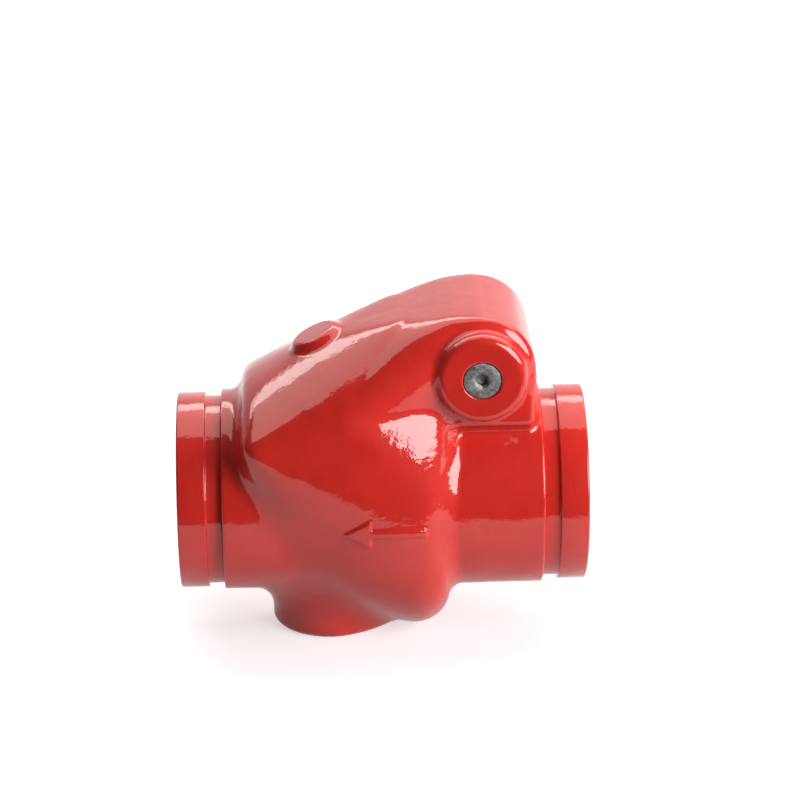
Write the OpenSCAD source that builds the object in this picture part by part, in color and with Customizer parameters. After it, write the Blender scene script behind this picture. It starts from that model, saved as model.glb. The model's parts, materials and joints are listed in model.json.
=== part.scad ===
// Swing non-return valve with grooved ends, nominal size 100.
// Flow runs along -X. The origin is on the resting plane, under the middle of the body.

/* [Ends] */
// Outside diameter of the two grooved ends
end_d = 114.3; // [112.5:0.1:116]
// Length from end face to end face
body_len = 236; // [228:1:250]
// Length of the sealing band outside each groove
band_len = 16.4; // [14.8:0.1:17]
// Width of each coupling groove
groove_w = 9.2; // [8:0.1:9.8]
// Diameter at the bottom of each groove
groove_d = 110.08; // [108.5:0.02:111]
// Outside diameter of the necks
neck_d = 117.2; // [116.4:0.1:120]
// Diameter of the waterway
bore_d = 102; // [97:0.5:103]
// Chamfer on the end faces
end_chamfer = 0.8; // [0.4:0.1:1.5]

/* [Chamber] */
// Height of the waterway axis above the resting plane
axis_h = 83.5; // [82:0.5:86]
// Distance from mid-length to the outlet-side wall of the chamber
chamber_out = 80; // [78:0.5:83]
// Distance from mid-length to the inlet-side wall of the chamber
chamber_in = 39; // [38:0.5:41]
// Half width of the chamber
chamber_half = 67; // [66:0.5:71]
// Corner radius at the bottom of the chamber, seen along the pipe
belly_r = 65; // [62:0.5:66]
// Gap between the lowest point of the chamber and the resting plane
belly_gap = 2; // [0:0.5:4]
// Edge radius of the chamber where it meets the inlet neck
edge_r = 20; // [18:0.5:21]
// Edge radius of the upper outlet end of the chamber
shoulder_edge = 8; // [7:0.5:9]
// Distance from the centre plane to the upright edge of that end
shoulder_side = 58; // [56:0.5:59]
// Wall thickness of the casting
wall = 6; // [5:0.1:6.5]

/* [Hood] */
// Height of the roof over the axis at the outlet end
roof_low = 72; // [70:0.5:74]
// Radius of the crowned roof at the outlet end
crown_r = 114; // [106:1:120]
// Distance from mid-length to the arched middle of the roof
arch_x = 28; // [26:0.5:30]
// Radius of that arch
arch_r = 69; // [67.5:0.5:70]
// Height of the centre of the arch over the waterway axis
arch_z = 25.5; // [24:0.5:27]
// Height of the roof over the axis at the hinge end of the chamber
roof_high = 110; // [108:0.5:111]
// Edge radius of the roof at the hinge end
roof_edge = 16; // [14:0.5:18]
// Half width of the roof between those edges
roof_half = 22; // [19:0.5:25]
// Distance of the shoulder facets from the middle of the chamber
facet_reach = 80.5; // [80:0.5:83]
// Length of the level top of the brow, from the pin towards the outlet
brow_flat = 14.5; // [12:0.5:18]
// Drop of the brow's edge at its low end
brow_drop = 30; // [27:0.5:32]
// How much wider the brow is on each side at its low end
brow_spread = 12; // [10:0.5:13]
// Edge radius of the brow
brow_edge = 5; // [4:0.5:6]
// Outside radius of the hinge housing about the pin
housing_r = 31.5; // [31:0.5:33]
// Half width of the hinge housing
housing_half = 42; // [41:0.5:44]
// Edge radius of the housing
housing_edge = 4; // [3:0.5:6]
// Drop from the pin to the underside of the housing
housing_drop = 35; // [33:0.5:37]

/* [Bosses] */
// Distance of the boss faces from the centre plane
boss_half = 55; // [53:0.5:58]
// Outside radius of the pin bosses
boss_r = 26; // [24:0.5:27]
// Edge radius of the pin bosses
boss_edge = 5; // [4:0.5:6]
// Gap between a pin boss and the chamber beside it
pocket_gap = 3; // [2:0.25:4]
// Distance of the drain boss from mid-length
drain_x = 31; // [28:0.5:33]
// Radius of the drain boss
drain_r = 34; // [31:0.5:35]
// Edge radius of the drain boss face
drain_edge = 3; // [1.5:0.5:5]
// Distance of the gauge boss from mid-length
gauge_x = 35; // [32:0.5:38]
// Radius of the gauge boss
gauge_r = 15; // [13:0.5:17]
// Height of the gauge boss over its foot on the roof
gauge_h = 7; // [5.5:0.5:9]
// Edge radius of the gauge boss
gauge_edge = 5; // [3:0.5:5.5]

/* [Hinge] */
// Distance of the pin from mid-length
pin_x = 56.5; // [55:0.5:58]
// Height of the pin over the waterway axis
pin_z = 85; // [84:0.5:86.5]
// Diameter of the hinge pin
pin_d = 12.7; // [11:0.1:13.5]
// Radial clearance of the pin in its bores
pin_fit = 0.05; // [0.03:0.01:0.08]
// Half length of the hinge pin
pin_half = 39; // [37.5:0.5:39.5]
// Radius of the cavity around the hinge
cavity_r = 25.5; // [24.5:0.25:26]
// Half width of the cavity around the hinge
cavity_half = 31; // [30:0.5:33]
// Height of the arm passage over the pin
passage_rise = 17; // [16.5:0.25:18]
// Swing of the clapper from its seat to its stop
open_angle = 54; // [48:1:56]

/* [Plugs] */
// Diameter of the plug heads
plug_d = 21.2; // [19.5:0.1:21.6]
// Length of the plug heads
plug_head = 5.6; // [4.5:0.1:6]
// Depth of the plug faces below the boss faces
plug_recess = 0.4; // [0.2:0.1:1]
// Diameter of the plug shanks
plug_shank_d = 16.4; // [15:0.1:16.8]
// Radial clearance around the plug heads
plug_gap = 0.3; // [0.2:0.05:0.4]
// Radial clearance around the plug shanks
shank_gap = 0.05; // [0.02:0.01:0.1]
// Gap between the pin and each plug
pin_end_gap = 0.6; // [0.3:0.1:1]
// Wire diameter of the plug seals
plug_seal_w = 2.2; // [1.8:0.1:2.3]
// Width across flats of the hexagon sockets
socket_af = 6; // [5:0.5:8]
// Depth of the hexagon sockets
socket_depth = 4.5; // [3:0.5:5]
// Diameter of the chamfer at the mouth of each socket
socket_mouth = 9; // [8.5:0.5:10]

/* [Seat] */
// Distance of the seat lip from mid-length
seat_x = 31.5; // [31:0.25:32.5]
// Length of the seat ring
seat_len = 13; // [11:0.5:15]
// Outside diameter of the seat ring
seat_d = 107; // [106:0.25:107.5]
// Bore of the seat ring
seat_bore = 96; // [93:0.5:98]
// Width of the sloped land inside the seat lip
seat_land = 1; // [0.5:0.1:1.5]
// Width of the seat lip
lip_w = 2; // [1.5:0.1:2.5]
// Height of the seat lip
lip_h = 1.5; // [1:0.1:2]
// Radial clearance of the seat ring in the casing
seat_fit = 0.03; // [0.02:0.01:0.08]
// Wire diameter of the seat seal
seat_seal_w = 2.6; // [2.2:0.1:2.8]

/* [Clapper] */
// Diameter of the clapper plate
clapper_d = 110; // [108.5:0.5:111]
// Thickness of the clapper plate
clapper_t = 8; // [7:0.1:8.5]
// Diameter of the rubber facing
facing_d = 105; // [104:0.5:106]
// Thickness of the rubber facing
facing_t = 4; // [3.5:0.1:4.5]
// How far the facing stands out of the clapper plate
facing_proud = 1.4; // [1:0.1:1.6]
// Gap between the facing and the seat lip
facing_gap = 0.1; // [0.05:0.05:0.3]
// Clearance of the facing in its recess
facing_fit = 0.2; // [0.1:0.05:0.3]
// Clearance between the clapper and the casing around it
clapper_gap = 1.5; // [1:0.25:2]
// Diameter of the facing retainer
retainer_d = 88; // [80:0.5:90]
// Thickness of the facing retainer
retainer_t = 3.5; // [3:0.1:4]
// Radius of the clapper lugs about the pin
lug_r = 12.5; // [11.5:0.25:13.5]
// Thickness of each clapper lug
lug_t = 10.4; // [9:0.1:11]
// Height of the clapper ribs over the plate
rib_h = 4.5; // [3:0.25:5]
// Chamfer around the back of the clapper plate
clapper_chamfer = 1.5; // [1:0.25:2]
// Distance of the casting's stop boss from the pin, along the open clapper
stop_reach = 42; // [40:0.5:46]
// Diameter of the stop boss
stop_d = 16; // [12:0.5:18]
// Gap between the stop boss and the open clapper
stop_gap = 0.3; // [0.1:0.1:0.6]

/* [Clapper bolt] */
// Diameter of the clapper bolt
bolt_d = 10; // [8:0.5:10.5]
// Width across flats of the bolt head and nut
bolt_af = 16; // [15:0.5:18]
// Height of the bolt head
bolt_head = 6.4; // [5:0.1:7]
// Height of the nut
nut_h = 8; // [6:0.1:8.2]
// Bolt thread showing past the nut
bolt_end = 1.6; // [1:0.1:2]
// Radial clearance of the bolt in its holes
bolt_fit = 0.25; // [0.1:0.05:0.4]
// Diameter of the sealing washer under the bolt head
seal_washer_d = 22; // [20:0.5:26]
// Thickness of that sealing washer
seal_washer_t = 1.5; // [1:0.1:2]
// Thickness of the lock washer
lock_washer_t = 2.2; // [1.8:0.1:2.4]
// Diameter of the lock washer
lock_washer_d = 18; // [17:0.5:19]

/* [Hinge details] */
// Outside diameter of the clapper bushes
bush_d = 16; // [15.4:0.1:17.5]
// Outside diameter of the thrust washers
thrust_d = 22; // [20:0.5:24]
// Thickness of the thrust washers
thrust_t = 1.2; // [1:0.05:1.3]
// Free play beside each thrust washer
thrust_play = 0.15; // [0.1:0.05:0.2]
// Radial clearance of sleeve and washers on the pin
loose_fit = 0.2; // [0.1:0.05:0.3]
// Outside diameter of the spring sleeve
sleeve_d = 16.4; // [15.8:0.1:17]
// Wire diameter of the closing spring
wire_d = 2.4; // [2:0.1:2.5]
// Mean radius of the spring coil
coil_r = 11; // [10.5:0.25:11.25]
// Half length of the spring coil
coil_half = 14.5; // [13:0.25:15.5]
// Turns of the spring coil
coil_turns = 7; // [5:1:8]

/* [Hidden] */

// Overshoot that lets a cut leave its solid cleanly
over = 1;
// Facets of round solids, and of the rounded shapes inside a hull
round_fn = 96;
hull_fn = 32;

// Waterway and groove positions
half_len = body_len / 2;
neck_half = half_len - band_len - groove_w;
bore_r = bore_d / 2;

// Chamber construction
ring_x = chamber_in - edge_r;
swing_steps = 3;
open_edge = 14.5;
belly_drop = axis_h - belly_gap - belly_r;
belly_side = chamber_half - belly_r;
shoulder_x = -chamber_out + shoulder_edge;
shoulder_rise = 30;
crown_spread = 33.5;
crown_steps = 3;
arch_edge = 24;
hinge_ring_r = 61;
hinge_ring_drop = 62;
crest_x = 12;
crest_z = roof_high - roof_edge;
facet_polar = 65;
facet_turn = 59.5;
roof_tilt = 25;
brow_mid = 37.5;
brow_mid_drop = 11;
brow_mid_spread = 3;
brow_low = 51;
brow_foot = 60;
brow_root_r = 32;
rail_x = 21;
rail_side = 50;
rail_z = 60;
rail_r = 16;
gauge_z = 90.5;
gauge_depth = 20;
stop_len = 30;
housing_end = pin_x + housing_r;

// Room beside and under the seat seal in its gland
gland_side = 0.3;
gland_squeeze = 0.2;

// Seat stack along the waterway
seat_r = seat_d / 2;
facing_x = seat_x - facing_gap;
clapper_front = facing_x - facing_proud;
clapper_back = clapper_front - clapper_t;
clapper_mid = clapper_front - clapper_t / 2;
retainer_x = facing_x + retainer_t;
head_x = retainer_x + seal_washer_t;
washer_x = clapper_back - lock_washer_t;
nut_x = washer_x - nut_h;

// Plug stack, measured out from the centre plane
plug_face = boss_half - plug_recess;
plug_seat = plug_face - plug_head;
seal_squeeze = 0.03;
gland_floor = plug_seat - plug_seal_w - seal_squeeze;
shank_end = pin_half + pin_end_gap;
seal_mean_r = (plug_d / 2 + plug_gap + plug_shank_d / 2 + shank_gap) / 2;

// Lugs and bushes, measured out from the centre plane
lug_out = cavity_half - thrust_t - 2 * thrust_play;
lug_in = lug_out - lug_t;
pin_r = pin_d / 2;

// Clapper arm: where it leaves the lug, its knee on the plate and the rib that runs out
arm_start = 150;
arm_end = -80;
knee_drop = 16;
heel_rise = 5;
arm_lift = 2;
rib_bend = 18;
rib_foot = 4;

// Closing spring: reach and rise of the roof leg, bend and touch points of the clapper leg
roof_leg_reach = 30;
roof_leg_bend = 18;
roof_leg_rise = 15;
roof_leg_slope = 1.5;
back_leg_reach = 30;
back_leg_bend = 18;
back_leg_touch = 28;
back_leg_end = 42;

// Places the waterway axis at its height over the resting plane
module raised() {
    translate([0, 0, axis_h]) children();
}

// Moves a shape from the origin to the pin
module at_pin() {
    translate([pin_x, 0, pin_z]) children();
}

// Swings a shape about the pin, opening with a growing angle
module swung(angle) {
    at_pin() rotate([0, angle, 0]) translate([-pin_x, 0, -pin_z]) children();
}

// Revolves a profile given as [radius, x] about the waterway axis
module turned(profile) {
    rotate([0, 90, 0]) rotate_extrude($fn = round_fn) polygon(profile);
}

// A cylinder along the waterway from x1 to x2
module along(r, x1, x2) {
    translate([x1, 0, 0]) rotate([0, 90, 0]) cylinder(r = r, h = x2 - x1, $fn = round_fn);
}

// A cylinder across the waterway from y1 to y2, about the pin axis
module across(r, y1, y2) {
    at_pin() translate([0, y1, 0]) rotate([-90, 0, 0]) cylinder(r = r, h = y2 - y1, $fn = round_fn);
}

// A ring of round section about the waterway direction, for hulls
module hull_ring(x, y, z, r, section) {
    translate([x, y, z]) rotate([0, 90, 0]) rotate_extrude($fn = hull_fn)
        translate([r - section, 0]) circle(r = section, $fn = hull_fn / 2);
}

// A ball for hulls
module ball(x, y, z, r) {
    translate([x, y, z]) sphere(r = r, $fn = hull_fn);
}

// Everything inside the flat facet on the chamber's shoulder below each pin boss
module facet_side(side, inset) {
    size = 2 * body_len;
    rotate([0, facet_polar, side * facet_turn])
        translate([-size / 2, -size / 2, facet_reach - inset - size]) cube(size);
}

// The clapper's chamber, shrunk evenly by inset
module chamber_shape(inset) {
    intersection() {
        chamber_hull(inset);
        facet_side(-1, inset);
        facet_side(1, inset);
    }
}

// The chamber without its facets
module chamber_hull(inset) {
    hull() {
        for (step = [0 : swing_steps - 1]) swung(step * open_angle / swing_steps) {
            hull_ring(ring_x, 0, 0, chamber_half - inset, edge_r - inset);
            for (side = [-1, 1])
                hull_ring(ring_x, side * belly_side, -belly_drop, belly_r - inset, edge_r - inset);
        }
        swung(open_angle)
            hull_ring(clapper_mid, 0, 0, clapper_d / 2 + clapper_gap + wall - inset, open_edge - inset);
        for (turn = [-crown_steps : crown_steps]) {
            angle = turn * crown_spread / crown_steps;
            core = crown_r - shoulder_edge;
            ball(shoulder_x, core * sin(angle), roof_low - crown_r + core * cos(angle),
                shoulder_edge - inset);
        }
        hull_ring(-arch_x, 0, arch_z, arch_r - inset, arch_edge - inset);
        hull_ring(ring_x, 0, roof_high - hinge_ring_drop, hinge_ring_r - inset, edge_r - inset);
        for (side = [-1, 1]) {
            ball(shoulder_x, side * (shoulder_side - shoulder_edge), shoulder_rise, shoulder_edge - inset);
            ball(crest_x, side * roof_half, crest_z, roof_edge - inset);
            ball(-rail_x, side * rail_side, rail_z, rail_r - inset);
        }
    }
}

// A round drum along Z with rounded rims, reaching half each way
module drum(r, half, edge) {
    rotate_extrude($fn = round_fn) {
        translate([0, -half]) square([r - edge, 2 * half]);
        translate([0, edge - half]) square([r, 2 * (half - edge)]);
        for (side = [-1, 1])
            translate([r - edge, side * (half - edge)]) circle(r = edge, $fn = round_fn);
    }
}

// A plan outline of the housing block with two rounded corners
module block_plan() {
    length = housing_end - ring_x;
    translate([ring_x, -housing_half]) square([length - housing_edge, 2 * housing_half]);
    translate([ring_x, housing_edge - housing_half])
        square([length, 2 * (housing_half - housing_edge)]);
    for (side = [-1, 1])
        translate([housing_end - housing_edge, side * (housing_half - housing_edge)])
            circle(r = housing_edge, $fn = round_fn);
}

// The brow that carries the top of the hinge housing down over the arch of the chamber
module brow_shape() {
    side_y = housing_half - brow_edge;
    top_z = pin_z + housing_r - brow_edge;
    hull() for (side = [-1, 1]) {
        ball(-arch_x, 0, arch_z + arch_r - brow_root_r, brow_root_r);
        ball(-rail_x, side * rail_side, rail_z, rail_r);
        ball(pin_x, side * side_y, top_z, brow_edge);
        ball(pin_x - brow_flat, side * side_y, top_z, brow_edge);
        ball(pin_x - brow_mid, side * (side_y + brow_mid_spread), top_z - brow_mid_drop, brow_edge);
        ball(pin_x - brow_low, side * (side_y + brow_spread), top_z - brow_drop, brow_edge);
        ball(pin_x - brow_flat, side * side_y, brow_foot, brow_edge);
        ball(pin_x - brow_low, side * side_y, brow_foot, brow_edge);
    }
}

// The hinge housing
module housing_shape() {
    at_pin() rotate([90, 0, 0]) drum(housing_r, housing_half, housing_edge);
    translate([0, 0, pin_z - housing_drop]) linear_extrude(housing_drop) block_plan();
    brow_shape();
}

// Outline of one end from the neck outwards, as [radius, distance from mid-length]
function end_outline() = [
    [neck_d / 2, neck_half], [groove_d / 2, neck_half],
    [groove_d / 2, neck_half + groove_w], [end_d / 2, neck_half + groove_w],
    [end_d / 2, half_len - end_chamfer], [end_d / 2 - end_chamfer, half_len], [0, half_len]
];

// The outside of both ends and necks
module ends_shape() {
    inlet = end_outline();
    last = len(inlet) - 1;
    outlet = [for (i = [last : -1 : 0]) [inlet[i][0], -inlet[i][1]]];
    turned(concat(inlet, outlet));
}

// A round boss along Z with a rounded rim, its face at height h
module rim_boss(r, h, edge) {
    rotate_extrude($fn = round_fn) {
        square([r - edge, h]);
        square([r, h - edge]);
        translate([r - edge, h - edge]) circle(r = edge, $fn = round_fn);
    }
}

// Space beside each pin boss where the chamber is cut back to the housing, grown evenly by grow
module pocket(grow) {
    clear = boss_r + pocket_gap + grow;
    reach = chamber_half + over;
    for (side = [0, 1]) mirror([0, side, 0]) {
        across(clear, housing_half - grow, reach);
        at_pin() translate([-clear, housing_half - grow, 0])
            cube([2 * clear + housing_r, reach - housing_half + grow, housing_r]);
    }
}

// Cast boss under the roof that the open clapper rests on
module stop_boss() {
    swung(open_angle) translate([clapper_back - stop_gap - stop_len, 0, pin_z - stop_reach])
        rotate([0, 90, 0]) cylinder(r = stop_d / 2, h = stop_len, $fn = round_fn);
}

// Hollow of the casting: waterway, chamber, hinge cavity and arm passage
module hollow() {
    passage_floor = pin_z - cavity_r;
    passage_x = ring_x - over;
    along(bore_r, -half_len - over, half_len + over);
    difference() {
        chamber_shape(wall);
        pocket(wall);
        stop_boss();
    }
    along(clapper_d / 2 + clapper_gap, ring_x, chamber_in - wall);
    across(cavity_r, -cavity_half, cavity_half);
    translate([0, cavity_half, 0]) rotate([90, 0, 0]) linear_extrude(2 * cavity_half) polygon([
        [passage_x, clapper_d / 2 - knee_drop], [seat_x, clapper_d / 2 - knee_drop],
        [seat_x, passage_floor], [pin_x, passage_floor],
        [pin_x, pin_z + passage_rise], [passage_x, pin_z + passage_rise]
    ]);
}

// Bores for the pin, the plugs and the seat ring
module machined_bores() {
    across(pin_r + pin_fit, -shank_end - over, shank_end + over);
    for (side = [0, 1]) mirror([0, side, 0]) {
        across(plug_shank_d / 2 + shank_gap, shank_end, boss_half + over);
        across(plug_d / 2 + plug_gap, gland_floor, boss_half + over);
    }
    along(seat_r + seat_fit, ring_x, seat_x + seat_len);
}

module body_casting() {
    color("firebrick") raised() difference() {
        union() {
            ends_shape();
            difference() {
                chamber_shape(0);
                pocket(0);
            }
            housing_shape();
            at_pin() rotate([90, 0, 0]) drum(boss_r, boss_half, boss_edge);
            translate([-drain_x, 0, 0]) rotate([180, 0, 0]) rim_boss(drain_r, axis_h, drain_edge);
            translate([-gauge_x, 0, gauge_z]) rotate([0, -roof_tilt, 0]) translate([0, 0, -gauge_depth])
                rim_boss(gauge_r, gauge_h + gauge_depth, gauge_edge);
        }
        hollow();
        machined_bores();
    }
}

module seat_ring() {
    lip_r = seat_bore / 2 + seat_land + lip_w;
    groove_mid = seat_x + seat_len / 2;
    groove_half = seat_seal_w / 2 + gland_side;
    groove_floor = seat_r - seat_seal_w + gland_squeeze;
    color("darkgoldenrod") raised() turned([
        [seat_bore / 2, seat_x + lip_h], [lip_r - lip_w, seat_x], [lip_r, seat_x],
        [lip_r + lip_h, seat_x + lip_h], [seat_r, seat_x + lip_h],
        [seat_r, groove_mid - groove_half], [groove_floor, groove_mid - groove_half],
        [groove_floor, groove_mid + groove_half], [seat_r, groove_mid + groove_half],
        [seat_r, seat_x + seat_len], [seat_bore / 2, seat_x + seat_len]
    ]);
}

module seat_seal() {
    section = (seat_seal_w - gland_squeeze) / 2;
    mid_r = seat_r - section;
    color("dimgray") raised() translate([seat_x + seat_len / 2, 0, 0]) rotate([0, 90, 0])
        rotate_extrude($fn = round_fn) translate([mid_r, 0]) circle(r = section, $fn = hull_fn);
}

// Side view of one clapper arm, as [x, z] about the waterway axis
function arm_outline() =
    let (rim = clapper_d / 2, root_r = lug_r - over)
    [
        [pin_x + root_r * cos(arm_start), pin_z + root_r * sin(arm_start)],
        [clapper_back - arm_lift, rim + over],
        [clapper_back - rib_h, rim - knee_drop],
        [clapper_back - rib_h / 2, rib_bend],
        [clapper_back + over, rib_foot],
        [clapper_back + over, rim - knee_drop],
        [clapper_front - over, rim - knee_drop],
        [clapper_front - over, rim + heel_rise],
        [pin_x + root_r * cos(arm_end), pin_z + root_r * sin(arm_end)]
    ];

module clapper() {
    rim = clapper_d / 2;
    recess = facing_t - facing_proud;
    color("dimgray") raised() difference() {
        union() {
            turned([
                [0, clapper_back], [rim - clapper_chamfer, clapper_back],
                [rim, clapper_back + clapper_chamfer], [rim, clapper_front], [0, clapper_front]
            ]);
            for (side = [-1, 1]) {
                y1 = side > 0 ? lug_in : -lug_out;
                across(lug_r, y1, y1 + lug_t);
                translate([0, y1 + lug_t, 0]) rotate([90, 0, 0])
                    linear_extrude(lug_t) polygon(arm_outline());
            }
        }
        along(facing_d / 2 + facing_fit, clapper_front - recess, clapper_front + over);
        along(bolt_d / 2 + bolt_fit, clapper_back - over, clapper_front);
        across(bush_d / 2, -lug_out - over, lug_out + over);
    }
}

// A flat ring about the waterway axis from x1 to x2
module washer(outer_r, inner_r, x1, x2) {
    raised() difference() {
        along(outer_r, x1, x2);
        along(inner_r, x1 - over, x2 + over);
    }
}

// A sleeve about the pin axis from y1 to y2
module sleeve(outer_r, inner_r, y1, y2) {
    raised() difference() {
        across(outer_r, y1, y2);
        across(inner_r, y1 - over, y2 + over);
    }
}

// A hexagonal prism along the waterway from x1 to x2
module hex_along(af, x1, x2) {
    translate([x1, 0, 0]) rotate([0, 90, 0]) cylinder(r = af / sqrt(3), h = x2 - x1, $fn = 6);
}

module clapper_facing() {
    color("darkslategray") washer(facing_d / 2, bolt_d / 2 + bolt_fit, facing_x - facing_t, facing_x);
}

module facing_retainer() {
    color("silver") washer(retainer_d / 2, bolt_d / 2 + bolt_fit, facing_x, retainer_x);
}

module bolt_seal_washer() {
    color("darkslategray") washer(seal_washer_d / 2, bolt_d / 2 + bolt_fit, retainer_x, head_x);
}

module clapper_bolt() {
    color("silver") raised() {
        hex_along(bolt_af, head_x, head_x + bolt_head);
        along(bolt_d / 2, nut_x - bolt_end, head_x + over);
    }
}

module lock_washer() {
    color("silver") washer(lock_washer_d / 2, bolt_d / 2 + bolt_fit, washer_x, clapper_back);
}

module clapper_nut() {
    color("silver") raised() difference() {
        hex_along(bolt_af, nut_x, washer_x);
        along(bolt_d / 2, nut_x - over, washer_x + over);
    }
}

module hinge_pin() {
    color("silver") raised() across(pin_r, -pin_half, pin_half);
}

module bush(side) {
    color("goldenrod") mirror([0, side < 0 ? 1 : 0, 0])
        sleeve(bush_d / 2, pin_r + pin_fit, lug_in, lug_out);
}

module thrust_washer(side) {
    color("goldenrod") mirror([0, side < 0 ? 1 : 0, 0])
        sleeve(thrust_d / 2, pin_r + loose_fit, lug_out + thrust_play, lug_out + thrust_play + thrust_t);
}

module spring_sleeve() {
    color("silver") sleeve(sleeve_d / 2, pin_r + loose_fit, thrust_play - lug_in, lug_in - thrust_play);
}

// Sweeps a wire of round section along points whose turns lie across the Y axis
module wire(path, r, sides) {
    last = len(path) - 1;
    points = [
        for (i = [0 : last])
            let (
                ahead = path[min(i + 1, last)] - path[max(i - 1, 0)],
                out = cross(ahead, [0, 1, 0]) / norm(cross(ahead, [0, 1, 0])),
                up = cross(out, ahead) / norm(ahead)
            )
            for (k = [0 : sides - 1])
                path[i] + r * (out * cos(k * 360 / sides) + up * sin(k * 360 / sides))
    ];
    skin = [
        for (i = [0 : last - 1], k = [0 : sides - 1])
            let (a = i * sides, b = a + sides, n = (k + 1) % sides)
            [a + k, a + n, b + n, b + k]
    ];
    ends = [
        [for (k = [sides - 1 : -1 : 0]) k],
        [for (k = [0 : sides - 1]) last * sides + k]
    ];
    polyhedron(points = points, faces = concat(skin, ends), convexity = 8);
}

// Centre line of the closing spring: leg under the roof, coil, leg on the clapper's back
function spring_path() =
    let (
        per_turn = 16,
        steps = (coil_turns + 0.5) * per_turn,
        leg_x = clapper_back - wire_d / 2 - facing_gap,
        roof_leg = [
            [pin_x - roof_leg_reach, -coil_half, pin_z + roof_leg_rise],
            [pin_x - roof_leg_bend, -coil_half, pin_z + roof_leg_rise - roof_leg_slope]
        ],
        coil = [
            for (i = [0 : steps])
                let (angle = 90 - i * 360 / per_turn)
                [
                    pin_x + coil_r * cos(angle),
                    -coil_half + 2 * coil_half * i / steps,
                    pin_z + coil_r * sin(angle)
                ]
        ],
        back_leg = [
            [pin_x - back_leg_reach, coil_half, pin_z - back_leg_bend],
            [leg_x, coil_half, pin_z - back_leg_touch],
            [leg_x, coil_half, pin_z - back_leg_end]
        ]
    )
    concat(roof_leg, coil, back_leg);

module closing_spring() {
    color("silver") raised() wire(spring_path(), wire_d / 2, 8);
}

module pin_plug(side) {
    mouth_r = socket_mouth / 2;
    socket_r = socket_af / sqrt(3);
    bevel = mouth_r - socket_af / 2;
    color("slategray") raised() mirror([0, side < 0 ? 1 : 0, 0]) difference() {
        union() {
            across(plug_shank_d / 2, shank_end, plug_seat + over);
            across(plug_d / 2, plug_seat, plug_face);
        }
        at_pin() translate([0, plug_face - socket_depth, 0]) rotate([-90, 0, 0])
            cylinder(r = socket_r, h = socket_depth + over, $fn = 6);
        at_pin() translate([0, plug_face - bevel, 0]) rotate([-90, 0, 0])
            cylinder(r1 = socket_af / 2, r2 = mouth_r, h = bevel, $fn = round_fn);
    }
}

module plug_seal(side) {
    color("dimgray") raised() mirror([0, side < 0 ? 1 : 0, 0]) at_pin()
        translate([0, gland_floor + (plug_seal_w + seal_squeeze) / 2, 0]) rotate([-90, 0, 0])
            rotate_extrude($fn = round_fn) translate([seal_mean_r, 0])
                circle(r = plug_seal_w / 2, $fn = hull_fn);
}

body_casting();
seat_ring();
seat_seal();
clapper();
clapper_facing();
facing_retainer();
bolt_seal_washer();
clapper_bolt();
lock_washer();
clapper_nut();
hinge_pin();
bush(-1);  // bush_near
bush(1);  // bush_far
thrust_washer(-1);  // thrust_washer_near
thrust_washer(1);  // thrust_washer_far
spring_sleeve();
closing_spring();
pin_plug(-1);  // pin_plug_near
pin_plug(1);  // pin_plug_far
plug_seal(-1);  // plug_seal_near
plug_seal(1);  // plug_seal_far
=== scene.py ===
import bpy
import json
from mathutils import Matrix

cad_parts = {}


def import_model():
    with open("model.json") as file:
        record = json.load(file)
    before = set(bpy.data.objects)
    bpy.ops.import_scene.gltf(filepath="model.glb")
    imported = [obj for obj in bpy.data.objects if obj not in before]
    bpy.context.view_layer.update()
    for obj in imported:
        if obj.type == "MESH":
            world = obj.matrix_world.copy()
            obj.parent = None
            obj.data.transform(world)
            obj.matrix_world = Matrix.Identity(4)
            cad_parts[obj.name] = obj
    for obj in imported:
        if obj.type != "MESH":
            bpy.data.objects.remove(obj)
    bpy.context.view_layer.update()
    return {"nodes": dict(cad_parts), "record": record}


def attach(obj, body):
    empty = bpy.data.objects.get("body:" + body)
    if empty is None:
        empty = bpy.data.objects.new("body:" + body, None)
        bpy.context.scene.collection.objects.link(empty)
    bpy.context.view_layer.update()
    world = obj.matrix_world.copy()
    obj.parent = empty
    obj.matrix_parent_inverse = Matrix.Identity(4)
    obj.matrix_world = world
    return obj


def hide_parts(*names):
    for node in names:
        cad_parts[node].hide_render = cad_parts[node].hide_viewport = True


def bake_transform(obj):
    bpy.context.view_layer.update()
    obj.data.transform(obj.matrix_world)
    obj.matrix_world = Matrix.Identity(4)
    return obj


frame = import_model()

import json
import math

import bmesh
import bpy
import numpy as np
import openvdb
from mathutils import Matrix, Vector

# Sizes in millimetres, as the solids have them, measured from the waterway axis at mid-length.
# The inlet is towards +X and the near side towards -Y. The casting is the same on both sides.
MM = 0.001
AXIS_H = 83.5
END_R, GROOVE_R, NECK_R, BORE_R = 57.15, 55.04, 58.6, 51.0
HALF_LEN, BAND, GROOVE, CHAMFER = 118.0, 16.4, 9.2, 0.8
NECK_HALF = HALF_LEN - BAND - GROOVE
RING_X, EDGE_R, CHAMBER_HALF = 19.0, 20.0, 67.0
BELLY_R, BELLY_DROP, WALL = 65.0, 16.5, 6.0
CHAMBER_OUT, SHOULDER_EDGE, CROWN_R = 80.0, 8.0, 114.0
SHOULDER_SIDE, SHOULDER_RISE = 50.0, 30.0
HINGE_RING_R, HINGE_RING_Z, OPEN_EDGE = 61.0, 48.0, 14.5
ROOF_LOW, CROWN_TURN = 72.0, 33.5
ARCH_X, ARCH_Z, ARCH_R, ARCH_EDGE = 28.0, 25.5, 69.0, 24.0
GAUGE_Z, GAUGE_REACH, GAUGE_DEPTH, ROOF_TILT = 90.5, 7.0, 20.0, 25.0
ARROW_X, ARROW_Z, ARROW_HEIGHT = 4.0, -2.0, 1.3
FACET_POLAR, FACET_TURN, FACET_REACH = 65.0, 59.5, 80.5
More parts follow.
